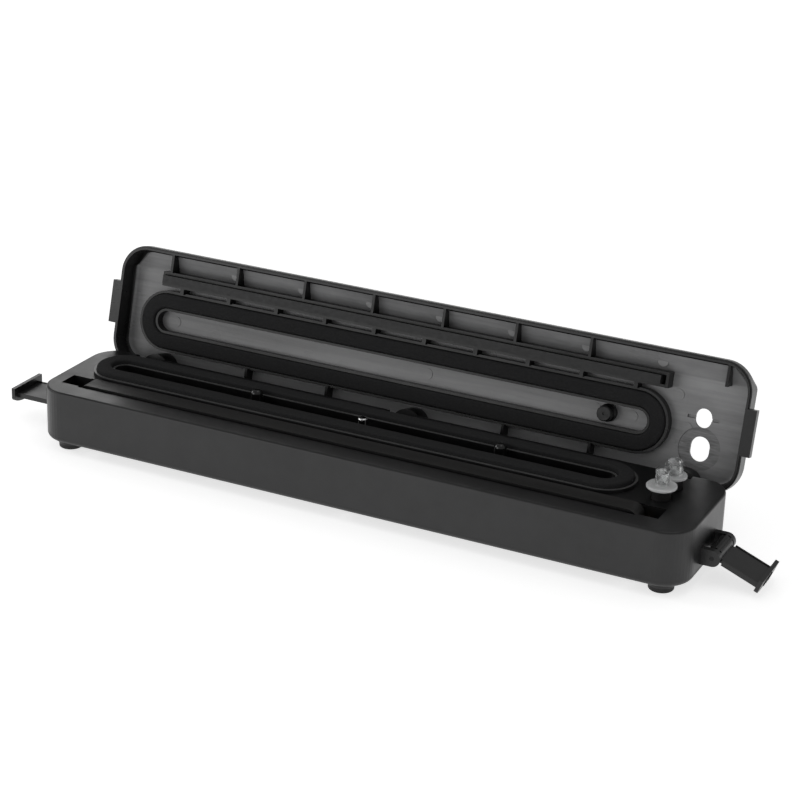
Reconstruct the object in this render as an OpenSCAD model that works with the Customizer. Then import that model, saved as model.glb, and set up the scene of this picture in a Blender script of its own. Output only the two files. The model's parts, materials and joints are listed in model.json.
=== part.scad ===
// Bag vacuum sealer: a long low case with a hinged lid, a heat-sealing bar,
// a foam-ringed vacuum channel, two push buttons and a swing latch at each end.
// X runs along the length, +Y to the back, +Z up. The origin lies on the table
// under the middle of the case. The lid is drawn open, as it stands at rest.

/* [Case] */
// Length of the case
case_l = 360; // [330:1:440]
// Depth of the case, front to back
case_w = 70; // [66:1:86]
// Height of the case above its feet
case_h = 29; // [28:0.5:40]
// Radius of the upright corners
corner_r = 15.5; // [10:0.5:18]
// Thickness of the side walls
case_t = 2.2; // [1.8:0.1:2.8]
// Thickness of the deck
deck_t = 2.6; // [2.2:0.1:3]
// Rounding along the top edge
top_edge_r = 1.2; // [0.8:0.1:2]
// Rounding along the bottom edge, which is also the height of the cover's side
bottom_edge_r = 3.5; // [2.5:0.1:4.5]
// Height of the feet under the case
foot_h = 5.5; // [4.5:0.5:8]
// Radius of a foot where it meets the case
foot_r = 7.4; // [6:0.2:9]

/* [Lid] */
// How far the front edge of the lid stands back from the case
lid_back = 3; // [1:0.5:5]
// Height of the lid over its rim
lid_h = 13.5; // [13:0.5:18]
// Thickness of the lid
lid_t = 2; // [1.6:0.1:2.4]
// Rounding of the lid's outer edge
lid_edge_r = 5; // [4:0.5:7]
// Fall of the sloping front of the lid
lid_fall = 3.5; // [2:0.5:5]
// Distance of the crease from the lid's front edge
crease_in = 13.4; // [11:0.2:16]
// How far the lid opens
open_angle = 105; // [95:1:110]
// Gap between the closed rim and the deck
rim_gap = 0.3; // [0.2:0.1:0.6]
// Thickness of the lid's ribs
rib_t = 1.4; // [1:0.1:2]

/* [Hinge] */
// Distance of the hinge axis from the back of the case
hinge_in = 3.4; // [3.2:0.1:4]
// Depth of the hinge axis under the deck
hinge_down = 4.9; // [4.6:0.1:5.5]
// Distance of the outer hinges from the ends of the case
hinge_end = 28.8; // [28:0.2:50]
// Length of a hinge knuckle
knuckle_l = 16; // [12:1:20]
// Radius of a hinge knuckle
knuckle_r = 3.1; // [2.8:0.1:3.3]
// Radius of a hinge pin
hinge_pin_r = 1.25; // [1:0.05:1.5]

/* [Gaskets] */
// Distance of the foam ring from the left end of the case
ring_left = 13.8; // [13.6:0.2:20]
// Distance of the foam ring from the right end of the case
ring_right = 42.2; // [41:0.2:60]
// Depth of the foam ring
ring_w = 30.2; // [27:0.2:31]
// Width of the foam band
foam_band = 8; // [6:0.2:9]
// Height of the lower foam above the deck
foam_h = 4.5; // [3.5:0.1:5]
// Height of the lower foam's walls above the deck
wall_h = 1.9; // [1.2:0.1:2.5]
// Thickness of the walls that hold the foam
wall_t = 1.3; // [1:0.1:1.6]
// Depth of the vacuum channel under the deck
trough_d = 7; // [5:0.5:8]

/* [Sealing bar] */
// Width of the heater bar
heater_w = 9; // [7:0.5:10]
// Height of the heater bar above the deck
heater_rise = 0.6; // [0.4:0.1:1]
// Radius of the turned-down ends
heater_end_r = 5; // [4:0.5:6]
// Width of the heating strip
strip_w = 2.6; // [2:0.1:4]
// Width of the non-stick tape
tape_w = 10.4; // [9:0.2:11]
// Width of the press bar in the lid
press_w = 4.4; // [3.6:0.1:5]

/* [Latches] */
// Distance of a latch pivot from the end of the case
pivot_out = 5.5; // [5.2:0.1:7]
// Height of a latch pivot over the table
pivot_z = 14.8; // [14.6:0.1:18]
// Radius of a latch barrel
barrel_r = 4; // [3.5:0.1:4.5]
// Radius of a latch pin
latch_pin_r = 1.2; // [1:0.05:1.4]
// Width of a latch arm
latch_w = 20; // [17:0.5:24]
// Thickness of a latch arm
latch_t = 2.4; // [2:0.1:3]
// Width of a latch's end plate
plate_w = 25.6; // [24:0.2:34]
// Height of a lid tab
tab_h = 4; // [3.6:0.1:8]
// How far a lid tab stands out of the end of the lid
tab_out = 4; // [3.4:0.1:4.2]
// Right latch's droop below level
right_droop = 21.5; // [0:0.5:21.5]

/* [Buttons] */
// Distance of the buttons from the right end
button_in = 24.8; // [22:0.2:28]
// Distance between the two buttons
button_pitch = 14.4; // [14:0.1:17]
// How far the front button stands left of the rear one
front_shift = 0.8; // [0:0.1:1.5]
// Radius of a button stem
stem_r = 4.85; // [4:0.05:5.2]
// Travel of a button
travel = 2; // [1:0.1:2.5]
// Height of a button's clear flange above the deck
flange_rise = 5.7; // [4:0.1:6.5]

/* [Hidden] */
$fn = 48;

eps = 0.01;
fit_gap = 0.25;        // seats of parts that don't move
slide_gap = 0.3;       // sliding parts
press_gap = 0.02;      // a pin held in its hole
turn_gap = 0.06;       // a pin that turns in its hole

// Heights
deck_z = foot_h + case_h;
seam_z = foot_h + bottom_edge_r;
cover_z = foot_h + case_t;
under_z = deck_z - deck_t;

// Foam ring and vacuum channel
ring_l = case_l - ring_left - ring_right;
ring_x = (ring_left - ring_right) / 2;
ring_y = case_w / 2 - 27.9;
ring_half = ring_w / 2;
outer_wall_half = ring_half + fit_gap + wall_t;
hole_w = ring_w - 2 * foam_band;
trough_w = hole_w - 2 * (fit_gap + wall_t);
trough_l = ring_l - ring_w + trough_w;
trough_z = deck_z - trough_d;
pocket_t = 1.8;

// Heater
seal_y = ring_y - 23.1;
strip_t = 0.15;
tape_t = 0.2;
recess_d = 1;
recess_w = 14.4;
heater_top = deck_z + heater_rise;
leg_l = 18.7 - case_l / 2;               // where the left leg of the strip goes down
leg_r = case_l / 2 - 29.4;               // and the right one
well_w = 11.8;
well_far = 10.8;                         // from a leg to the far side of its well
well_deep = 11;
well_t = 1.2;
lead_r = 1;

// Lid, in its closed place
rim_z = deck_z + rim_gap;
lid_top = rim_z + lid_h;
ceiling = lid_top - lid_t;
seat_z = ceiling - 0.03;              // parts seated on the lid's inner face end here
lid_front = -case_w / 2 + lid_back;
lid_rear = case_w / 2;
crease_y = lid_front + crease_in;
hinge_y = case_w / 2 - hinge_in;
hinge_z = deck_z - hinge_down;
hinge_x = [hinge_end - case_l / 2, 1.5, case_l / 2 - hinge_end];
notch_side = 0.4;
lug_t = 4;
notch_half = knuckle_l / 2 + notch_side;
hinge_half = notch_half + lug_t;
upper_foam = deck_z + foam_h + 0.3;
upper_wall = upper_foam + 1.5;

// Press bar holder
holder_t = 1.5;
holder_l = leg_l + 5.8;
holder_r = leg_r - 14.1;
holder_half = press_w / 2 + 0.2 + holder_t;
holder_z = rim_z + 4;
press_z = heater_top + strip_t + tape_t + 0.3;

// Latches
latch_y = 1.2;
pivot_x = case_l / 2 + pivot_out;
ear_gap = 0.5;
ear_t = 3.2;
ear_r = barrel_r + 0.2;
neck_w = latch_w - 3.6;
tab_w = 23.4;
tab_top = rim_z + tab_h;
arm_inner = pivot_out - tab_out - 0.6;           // arm's inner face, from the pivot
catch_u = tab_top + 0.3 - pivot_z;               // under the catch, from the pivot
catch_reach = 3.4;
plate_t = 2;
lip_reach = 3.2;

// the drooping latch must stay clear of the table
droop = min(right_droop, asin((pivot_z - 4.9) / (catch_u + plate_t + 0.5)));

// Buttons
button_x = case_l / 2 - button_in;
front_x = button_x - front_shift;
front_y = ring_y - 6.45;
rear_y = front_y + button_pitch;
button_at = [[front_x, front_y], [button_x, rear_y]];
hole_r = stem_r + slide_gap;
collar_r = 6.2;
collar_t = 1.8;
collar_z = under_z - 0.2 - collar_t;
post_top = deck_z + 15.8;
flange_t = 1.5;
board_z = cover_z + 10.3;
board_t = 1.6;
switch_h = 4.2;
plunger_h = 0.9;
rod_z = board_z + switch_h + plunger_h + travel + 0.3;

// Screw posts, as [x, y]
post_y = case_w / 2 - case_t - 4.8;
post_x = case_l / 2 - 30;
screw_at = [[-post_x, -post_y], [-post_x, post_y], [0, -post_y], [-40, post_y - 2.6],
    [post_x, -post_y], [post_x, post_y]];
post_r = 3.2;
pilot_r = 1.2;
screw_r = 1.12;
screw_head_r = 2.6;

foot_x = case_l / 2 - 14;
foot_y = case_w / 2 - 11.8;
pad_h = 2.6;

inlet_x = case_l / 2 - 62;
inlet_z = foot_h + 11.5;
inlet_w = 19;
inlet_h = 10.5;
inlet_deep = 11;

// Vacuum parts
nozzle_x = ring_x + 0.018 * ring_l;
nozzle_r = 2.5;
nozzle_rise = 4.4;
stop_r = 3.3;
stop_rise = 6;
stop_x = [ring_x - 0.19 * ring_l, ring_x + 0.266 * ring_l];
hose_r = 2.4;
tee = 4;
turn_r = 5;
pump_y = -16.5;
pump_z = cover_z + 12;
motor_r = 10;
valve_x = 20;
valve_y = ring_y + 17.5;

// Boards
power_l = 78;
power_w = 30;
power_x = case_l / 2 - 94;
power_y = -13.5;
power_z = cover_z + 4;
control_l = 34;
control_w = 30;
control_y = (front_y + rear_y) / 2 + 0.5;

// Ribs and moulding marks in the lid
rib_x = [for (k = [0:6]) holder_l + 5.1 + k * (holder_r - holder_l - 7.1) / 7];
stub_x = [for (k = [0:9]) holder_l + 12.4 + k * (holder_r - holder_l) / 10];
rear_rib_x = [for (f = [-0.274, -0.113, 0.222, 0.378]) ring_x + f * ring_l];
bay_marks = [for (x = rib_x) x + 0.9 * (holder_r - holder_l - 7.1) / 7];
mark_at = [[holder_l + 7.5, ring_y + 0.17], [ring_x + 19, ring_y - 0.36],
    [holder_r - 38, ring_y - 1.2], [holder_r - 18, ring_y - 0.83], [holder_r + 4, ring_y - 16.3],
    [holder_r + 10.8, ring_y - 0.55], [holder_r + 38, ring_y + 5.4]];

// Coil springs
coil_turns = 5;
coil_r = 4.9;
wire_r = 0.35;
ring_n = 12;
side_n = 6;

// ---------- shared shapes ----------

// Outline of a turned post with rounded bottom and top edges
function post_outline(r, z0, z1, rb, rt) = concat(
    [[0, z0]],
    rb > 0 ? [for (a = [-90:15:0]) [r - rb + rb * cos(a), z0 + rb + rb * sin(a)]] : [[r, z0]],
    rt > 0 ? [for (a = [0:15:90]) [r - rt + rt * cos(a), z1 - rt + rt * sin(a)]] : [[r, z1]],
    [[0, z1]]);

module post(r, z0, z1, rb = 0, rt = 0)
    rotate_extrude($fn = 48) polygon(post_outline(r, z0, z1, rb, rt));

// Box with round upright corners and rounded bottom and top edges
module rounded_case(l, w, r, z0, z1, rb, rt)
    hull() for (sx = [-1, 1], sy = [-1, 1])
        translate([sx * (l / 2 - r), sy * (w / 2 - r), 0]) post(r, z0, z1, rb, rt);

// Plain slab with round upright corners
module slab(l, w, r, z0, z1) translate([0, 0, z0]) {
    translate([-l / 2 + r, -w / 2, 0]) cube([l - 2 * r, w, z1 - z0]);
    translate([-l / 2, -w / 2 + r, 0]) cube([l, w - 2 * r, z1 - z0]);
    for (sx = [-1, 1], sy = [-1, 1])
        translate([sx * (l / 2 - r), sy * (w / 2 - r), 0]) cylinder(r = r, h = z1 - z0);
}

// Racetrack: straight sides with half-round ends
module track(l, w, z0, z1) translate([0, 0, z0]) {
    translate([-(l - w) / 2, -w / 2, 0]) cube([l - w, w, z1 - z0]);
    for (s = [-1, 1]) translate([s * (l - w) / 2, 0, 0]) cylinder(r = w / 2, h = z1 - z0);
}

module track_ring(l, w, band, z0, z1) difference() {
    track(l, w, z0, z1);
    track(l - 2 * band, w - 2 * band, z0 - 1, z1 + 1);
}

module at_ring() translate([ring_x, ring_y, 0]) children();

// Block from one corner to the opposite one
module block(a, b) translate(a) cube(b - a);

// Rod along X or Y, centred on its point
module rod_x(r, l) rotate([0, 90, 0]) cylinder(r = r, h = l, center = true);
module rod_y(r, l) rotate([90, 0, 0]) cylinder(r = r, h = l, center = true);

// Quarter bend in the XY plane, from -Y up to the level of its centre, turning round it
module bend(r, bend_r) rotate_extrude(angle = 90) translate([bend_r, 0]) circle(r = r);

// Everything on the lid is drawn closed and swung open about the hinge
module swing_open() translate([0, hinge_y, hinge_z]) rotate([-open_angle, 0, 0])
    translate([0, -hinge_y, -hinge_z]) children();

// ---------- case ----------

module hinge_block() block([-hinge_half, hinge_y - 5.6, hinge_z - 6.6],
    [hinge_half, case_w / 2 - 0.4, under_z + 1]);

module hinge_notch() {
    block([-notch_half, hinge_y - knuckle_r - 0.5, hinge_z - knuckle_r - 2.1],
        [notch_half, case_w / 2 + 1, deck_z + 1]);
}

// Ears that hold a latch pin, on the right-hand end
module latch_ears() for (s = [-1, 1])
    translate([0, latch_y + s * (neck_w / 2 + ear_gap + ear_t / 2), 0]) difference() {
        union() {
            translate([pivot_x, 0, pivot_z]) rod_y(ear_r, ear_t);
            block([case_l / 2 - case_t / 2, -ear_t / 2, pivot_z - ear_r],
                [pivot_x, ear_t / 2, pivot_z + ear_r]);
        }
        translate([pivot_x, 0, pivot_z]) rod_y(latch_pin_r + press_gap, ear_t + 1);
    }

module well(x_leg, side, grow, z0, z1) {
    far = x_leg + side * (well_far + grow);
    near = x_leg - side * (heater_end_r + fit_gap + grow);
    block([min(far, near), seal_y - well_w / 2 - grow, z0],
        [max(far, near), seal_y + well_w / 2 + grow, z1]);
}

module case_top() color("#2c2c2e") difference() {
    union() {
        difference() {
            rounded_case(case_l, case_w, corner_r, seam_z, deck_z, 0, top_edge_r);
            slab(case_l - 2 * case_t, case_w - 2 * case_t, corner_r - case_t, seam_z - 1, under_z);
        }
        at_ring() {
            track(trough_l + 2 * pocket_t, trough_w + 2 * pocket_t, trough_z - pocket_t, deck_z);
            track_ring(ring_l + 2 * (fit_gap + wall_t), 2 * outer_wall_half, wall_t,
                deck_z - 1, deck_z + wall_h);
            track_ring(trough_l + 2 * wall_t, trough_w + 2 * wall_t, wall_t,
                deck_z - 1, deck_z + wall_h);
        }
        intersection() {
            union() {
                well(leg_l, -1, well_t, deck_z - well_deep - well_t, under_z + 1);
                well(leg_r, 1, well_t, deck_z - well_deep - well_t, under_z + 1);
                for (x = hinge_x) translate([x, 0, 0]) hinge_block();
            }
            slab(case_l - case_t, case_w - 0.8, corner_r - 0.6, seam_z, deck_z);
        }
        for (p = screw_at) translate([p[0], p[1], cover_z + 2.5])
            cylinder(r = post_r, h = under_z - cover_z - 2);
        latch_ears();
        mirror([1, 0, 0]) latch_ears();
    }
    // back edge rounded about the hinge axis, so that the lid's rim clears it
    difference() {
        block([-case_l / 2 - 1, hinge_y, hinge_z], [case_l / 2 + 1, case_w / 2 + 1, deck_z + 0.5]);
        translate([0, hinge_y, hinge_z]) rod_x(hinge_down, case_l + 4);
    }
    at_ring() track(trough_l, trough_w, trough_z, deck_z + wall_h + 1);
    translate([nozzle_x, ring_y, trough_z - pocket_t - 1])
        cylinder(r = nozzle_r + fit_gap / 2, h = pocket_t + 2);
    block([leg_l, seal_y - recess_w / 2, deck_z - recess_d],
        [leg_r, ring_y - outer_wall_half, deck_z + 1]);
    well(leg_l, -1, 0, deck_z - well_deep, deck_z + 1);
    well(leg_r, 1, 0, deck_z - well_deep, deck_z + 1);
    for (x = [leg_l - 1.4, leg_r + 1.4]) translate([x, seal_y, deck_z - well_deep - 3])
        cylinder(r = lead_r + press_gap, h = 4);
    for (p = button_at) translate([p[0], p[1], under_z - 2])
        cylinder(r = hole_r, h = deck_t + 4);
    for (x = hinge_x) translate([x, 0, 0]) {
        hinge_notch();
        translate([0, hinge_y, hinge_z]) rod_x(hinge_pin_r + press_gap, 2 * hinge_half - 1.6);
    }
    for (p = screw_at) translate([p[0], p[1], cover_z]) cylinder(r = pilot_r, h = 12);
    translate([inlet_x, case_w / 2, inlet_z])
        rotate([90, 0, 0]) track(inlet_w + 2 * fit_gap, inlet_h + 2 * fit_gap, -1, 2 * case_t);
}

module case_bottom() color("#262628") difference() {
    union() {
        difference() {
            rounded_case(case_l, case_w, corner_r, foot_h, seam_z, bottom_edge_r - 0.4, 0);
            slab(case_l - 2 * bottom_edge_r, case_w - 2 * bottom_edge_r,
                corner_r - bottom_edge_r, cover_z, seam_z + 1);
        }
        // lip that locates the cover inside the walls
        difference() {
            slab(case_l - 2 * (case_t + fit_gap), case_w - 2 * (case_t + fit_gap),
                corner_r - case_t - fit_gap, cover_z - 0.5, seam_z + 2);
            slab(case_l - 2 * (case_t + fit_gap + 1.2), case_w - 2 * (case_t + fit_gap + 1.2),
                corner_r - case_t - fit_gap - 1.2, cover_z, seam_z + 3);
        }
        for (sx = [-1, 1], sy = [-1, 1])
            translate([sx * foot_x, sy * foot_y, pad_h])
                cylinder(r1 = foot_r - 0.9, r2 = foot_r, h = foot_h + 1 - pad_h);
        for (p = screw_at) translate([p[0], p[1], cover_z - 1])
            cylinder(r = post_r, h = 3.5);
        // stand-offs under the two boards
        for (sx = [-1, 1], sy = [-1, 1]) {
            translate([power_x + sx * (power_l / 2 - 4), power_y + sy * (power_w / 2 - 4), cover_z - 1])
                cylinder(r = 2.2, h = power_z - cover_z + 1);
            translate([button_x + sx * (control_l / 2 - 3), control_y + sy * (control_w / 2 - 3),
                cover_z - 1]) cylinder(r = 2.2, h = board_z - board_t - cover_z + 1);
        }
    }
    for (p = screw_at) translate([p[0], p[1], foot_h - 1]) {
        cylinder(r = pilot_r + 0.2, h = 12);
        cylinder(r = screw_head_r + 0.3, h = 2.4);
    }
    // the inlet's lower side passes in front of the lip
    block([inlet_x - inlet_w / 2 - 2.5, case_w / 2 - case_t - 4, seam_z - 0.2],
        [inlet_x + inlet_w / 2 + 2.5, case_w / 2 - case_t, seam_z + 3]);
    for (x = hinge_x) translate([x, 0, 0])
        block([-hinge_half - 0.5, hinge_y - 6.2, seam_z + 4], [hinge_half + 0.5, case_w / 2, under_z]);
}

module rubber_feet() color("#171718")
    for (sx = [-1, 1], sy = [-1, 1]) translate([sx * foot_x, sy * foot_y, 0])
        post(foot_r - 1.1, 0, pad_h, 1, 0);

module cover_screws() color("silver") for (p = screw_at) translate([p[0], p[1], foot_h]) {
    difference() {
        cylinder(r = screw_head_r, h = 1.3);
        for (a = [0, 90]) rotate(a) translate([-1.5, -0.25, -1]) cube([3, 0.5, 1.7]);
    }
    cylinder(r = screw_r, h = 11.5);
}

module lower_gasket() color("#1b1b1c")
    at_ring() track_ring(ring_l, ring_w, foam_band, deck_z, deck_z + foam_h);

// ---------- heater ----------

// Band that lies along the bar and turns down into a well at each end
module turned_band(w, r0, t, drop) translate([0, seal_y - w / 2, 0]) {
    x0 = leg_l + heater_end_r;
    x1 = leg_r - heater_end_r;
    cz = heater_top - heater_end_r;
    block([x0, 0, cz + r0], [x1, w, cz + r0 + t]);
    for (e = [[x0, -1], [x1, 1]]) {
        intersection() {
            translate([e[0], w / 2, cz]) difference() {
                rod_y(r0 + t, w);
                rod_y(r0, w + 1);
            }
            block([min(e[0], e[0] + e[1] * 9), 0, cz], [max(e[0], e[0] + e[1] * 9), w, cz + 9]);
        }
        a = e[0] + e[1] * r0;
        b = e[0] + e[1] * (r0 + t);
        block([min(a, b), 0, cz - drop], [max(a, b), w, cz + eps]);
    }
}

module heater_bar() color("#333335") {
    x0 = leg_l + heater_end_r;
    x1 = leg_r - heater_end_r;
    cz = heater_top - heater_end_r;
    block([x0, seal_y - heater_w / 2, deck_z - recess_d], [x1, seal_y + heater_w / 2, heater_top]);
    for (e = [[x0, -1], [x1, 1]]) intersection() {
        translate([e[0], seal_y, cz]) rod_y(heater_end_r, heater_w);
        block([min(e[0], e[0] + e[1] * heater_end_r), seal_y - heater_w / 2, cz],
            [max(e[0], e[0] + e[1] * heater_end_r), seal_y + heater_w / 2, heater_top]);
    }
}

module heating_strip() color("#8d8f92") turned_band(strip_w, heater_end_r, strip_t, 5);

module sealing_tape() color("#3a332c")
    turned_band(tape_w, heater_end_r + strip_t, tape_t, 2.5);

module heater_terminals() color("#b08d4a")
    for (e = [[leg_l, -1], [leg_r, 1]]) {
        a = e[0] + e[1] * strip_t;
        b = e[0] + e[1] * 2.6;
        block([min(a, b), seal_y - well_w / 2, deck_z - well_deep],
            [max(a, b), seal_y + well_w / 2, heater_top - heater_end_r - 2.6]);
    }

// Ten-sided wire from a point along an axis
module wire(a, d, l, r) translate(a)
    rotate(d == 0 ? [0, 90, 0] : d == 1 ? [-90, 0, 0] : [0, 0, 0])
        translate([0, 0, l < 0 ? l : 0]) cylinder(r = r, h = abs(l), $fn = 10);

module heater_leads() color("firebrick") {
    foot = deck_z - well_deep;
    board = power_z + board_t + lead_r + 0.22;
    low = cover_z + 2.2;
    x1 = leg_l - 1.4;
    x2 = power_x - power_l / 2 - 4;
    x3 = leg_r + 1.4;
    thick = lead_r + 0.2;
    wire([x1, seal_y, low], 2, foot - low, lead_r);
    wire([x1, seal_y - 1.5, low], 1, 1.5 - 1 - seal_y, thick);
    wire([x1, -1.4, low], 0, x2 - x1, lead_r);
    wire([x2, -1.4, low - 1.5], 2, board - low + 3, thick);
    wire([x2, -1.4, board], 0, 7, lead_r);
    wire([x3, seal_y, board], 2, foot - board, lead_r);
    wire([x3 + 1.5, seal_y, board], 0, power_x + power_l / 2 - 3 - x3, thick);
}

// ---------- vacuum parts ----------

module vacuum_nozzle() color("silver") translate([nozzle_x, ring_y, 0]) difference() {
    union() {
        translate([0, 0, pump_z + tee]) cylinder(r = nozzle_r, h = trough_z - pump_z - tee + 0.5);
        translate([0, 0, trough_z]) cylinder(r = nozzle_r + 1, h = 1);
        translate([0, 0, trough_z]) post(nozzle_r, 0, trough_d + nozzle_rise, 0, 0.8);
    }
    translate([0, 0, pump_z + tee - 1]) cylinder(r = 1.5, h = trough_z + trough_d + 14);
}

module bag_stops() color("#1d1d1e") for (x = stop_x)
    translate([x, ring_y + trough_w / 2 - stop_r, trough_z]) {
        post(stop_r, 0, trough_d + stop_rise, 0, stop_r - 0.8);
        translate([-stop_r, 0, 0]) cube([2 * stop_r, stop_r, trough_d + wall_h]);
    }

module pump_motor() color("#9a9c9f") translate([-34, pump_y, pump_z]) {
    rod_x(motor_r, 34);
    translate([18, 0, 0]) rod_x(3, 3);
    translate([-18.4, 0, 0]) rod_x(4, 3);
}

module pump_head() color("#3c3f44") difference() {
    union() {
        block([-76, pump_y - 10.5, pump_z - 10.5], [-54, pump_y + 10.5, pump_z + 10]);
        translate([-65, pump_y + 12.4, pump_z]) rod_y(1.9, 5);
    }
    translate([-54, pump_y, pump_z]) rod_x(4 + fit_gap, 6);
    translate([-65, pump_y + 13, pump_z]) rod_y(1, 9);
}

module pump_cradle() color("#1f1f20") for (x = [-44, -24]) difference() {
    block([x - 3, pump_y - 8, cover_z], [x + 3, pump_y + 8, pump_z - 2]);
    translate([x, pump_y, pump_z]) rod_x(motor_r, 8);
}

// Hose from the pump to a square tee under the nozzle
module vacuum_hose() color("#d8d8d2") {
    translate([-65 + turn_r, ring_y - turn_r, pump_z]) rotate(90) bend(hose_r, turn_r);
    translate([-65, (pump_y + 14.9 + ring_y - turn_r) / 2, pump_z])
        rod_y(hose_r, ring_y - turn_r - pump_y - 14.9);
    translate([(nozzle_x - tee - 65 + turn_r) / 2, ring_y, pump_z])
        rod_x(hose_r, nozzle_x - tee + 65 - turn_r);
    block([nozzle_x - tee, ring_y - tee, pump_z - tee], [nozzle_x + tee, ring_y + tee, pump_z + tee]);
}

module relief_valve() color("#4c4f55") {
    block([valve_x, valve_y - 6.5, cover_z + 0.5], [valve_x + 20, valve_y + 6.5, cover_z + 14.5]);
    translate([valve_x - 2, valve_y, pump_z]) rod_x(1.8, 5);
    block([valve_x + 3, valve_y - 3, cover_z], [valve_x + 17, valve_y + 3, cover_z + 0.6]);
}

module valve_hose() color("#d8d8d2") {
    translate([nozzle_x + turn_r, valve_y - turn_r, pump_z]) rotate(90) bend(hose_r, turn_r);
    translate([(valve_x - 4.5 + nozzle_x + turn_r) / 2, valve_y, pump_z])
        rod_x(hose_r, valve_x - 4.5 - nozzle_x - turn_r);
    translate([nozzle_x, (valve_y - turn_r + ring_y + tee) / 2, pump_z])
        rod_y(hose_r, valve_y - turn_r - ring_y - tee);
}

// ---------- electrics ----------

module power_board() color("#6b5a2c") difference() {
    block([power_x - power_l / 2, power_y - power_w / 2, power_z],
        [power_x + power_l / 2, power_y + power_w / 2, power_z + board_t]);
    for (sx = [-1, 1], sy = [-1, 1])
        translate([power_x + sx * (power_l / 2 - 4), power_y + sy * (power_w / 2 - 4), power_z - 1])
            cylinder(r = 1.1, h = 4);
}

module transformer() color("#c9a23a") {
    zt = power_z + board_t;
    block([power_x - 4, power_y - 9, zt], [power_x + 16, power_y + 9, zt + 4]);
    block([power_x - 1, power_y - 6, zt + 4], [power_x + 13, power_y + 6, zt + 10]);
    block([power_x - 4, power_y - 9, zt + 10], [power_x + 16, power_y + 9, zt + 14]);
}

module capacitor() color("#30343c") translate([power_x - 16, power_y + 6, power_z + board_t])
    post(5, 0, 15, 0.4, 0.8);

module heat_sink() color("silver") {
    zt = power_z + board_t;
    block([power_x + 22, power_y - 8, zt], [power_x + 32, power_y + 8, zt + 2]);
    for (k = [0:3]) block([power_x + 22 + k * 2.9, power_y - 8, zt + 2],
        [power_x + 23.3 + k * 2.9, power_y + 8, zt + 13]);
}

module control_board() color("#2f5d3a") difference() {
    block([button_x - control_l / 2, control_y - control_w / 2, board_z - board_t],
        [button_x + control_l / 2, control_y + control_w / 2, board_z]);
    for (sx = [-1, 1], sy = [-1, 1])
        translate([button_x + sx * (control_l / 2 - 3), control_y + sy * (control_w / 2 - 3),
            board_z - 3]) cylinder(r = 1.1, h = 4);
}

module button_switches() color("#202022") for (p = button_at)
    translate([p[0], p[1], board_z]) {
        translate([-3, -3, 0]) cube([6, 6, switch_h]);
        cylinder(r = 1.7, h = switch_h + plunger_h);
    }

module status_leds() color("#e8e6dc") for (p = button_at)
    translate([p[0] - 10, p[1], board_z]) {
        cylinder(r = 1.9, h = 1);
        cylinder(r = 1.5, h = 3.4);
        translate([0, 0, 3.4]) sphere(r = 1.5, $fn = 24);
    }

module power_inlet() color("#1c1c1e") translate([inlet_x, case_w / 2, inlet_z])
    rotate([90, 0, 0]) difference() {
        union() {
            track(inlet_w, inlet_h, 0, inlet_deep);
            track(inlet_w + 4, inlet_h + 3, case_t + 0.1, case_t + 1.6);
        }
        for (s = [-1, 1]) translate([s * 3.5, 0, -1]) cylinder(r = 4, h = inlet_deep - 1);
        block([-3.5, -2.9, -1], [3.5, 2.9, inlet_deep - 2]);
    }

module inlet_pins() color("silver") for (s = [-1, 1])
    translate([inlet_x + s * 4.3, case_w / 2 - 1.6, inlet_z])
        rotate([90, 0, 0]) cylinder(r = 1.2, h = inlet_deep - 3.6);

// ---------- pins ----------

module hinge_pins() color("silver") for (x = hinge_x)
    translate([x, hinge_y, hinge_z]) rod_x(hinge_pin_r, 2 * hinge_half - 2);

module latch_pins() color("silver") for (s = [-1, 1])
    translate([s * pivot_x, latch_y, pivot_z])
        rod_y(latch_pin_r, neck_w + 2 * (ear_gap + ear_t));

// ---------- lid ----------

// Body of the lid, or of its hollow when inset is the wall
module lid_form(inset) {
    r = corner_r - inset;
    rt = lid_edge_r - inset;
    z0 = inset > 0 ? rim_z - 1 : rim_z;
    hull() {
        for (sx = [-1, 1]) {
            translate([sx * (case_l / 2 - corner_r), lid_rear - corner_r, 0])
                post(r, z0, lid_top - inset, 0, rt);
            translate([sx * (case_l / 2 - corner_r), lid_front + corner_r, 0])
                post(r, z0, lid_top - inset - lid_fall, 0, rt);
            translate([sx * (case_l / 2 - lid_edge_r), crease_y, lid_top - lid_edge_r])
                sphere(r = rt, $fn = 32);
        }
    }
}

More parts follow.
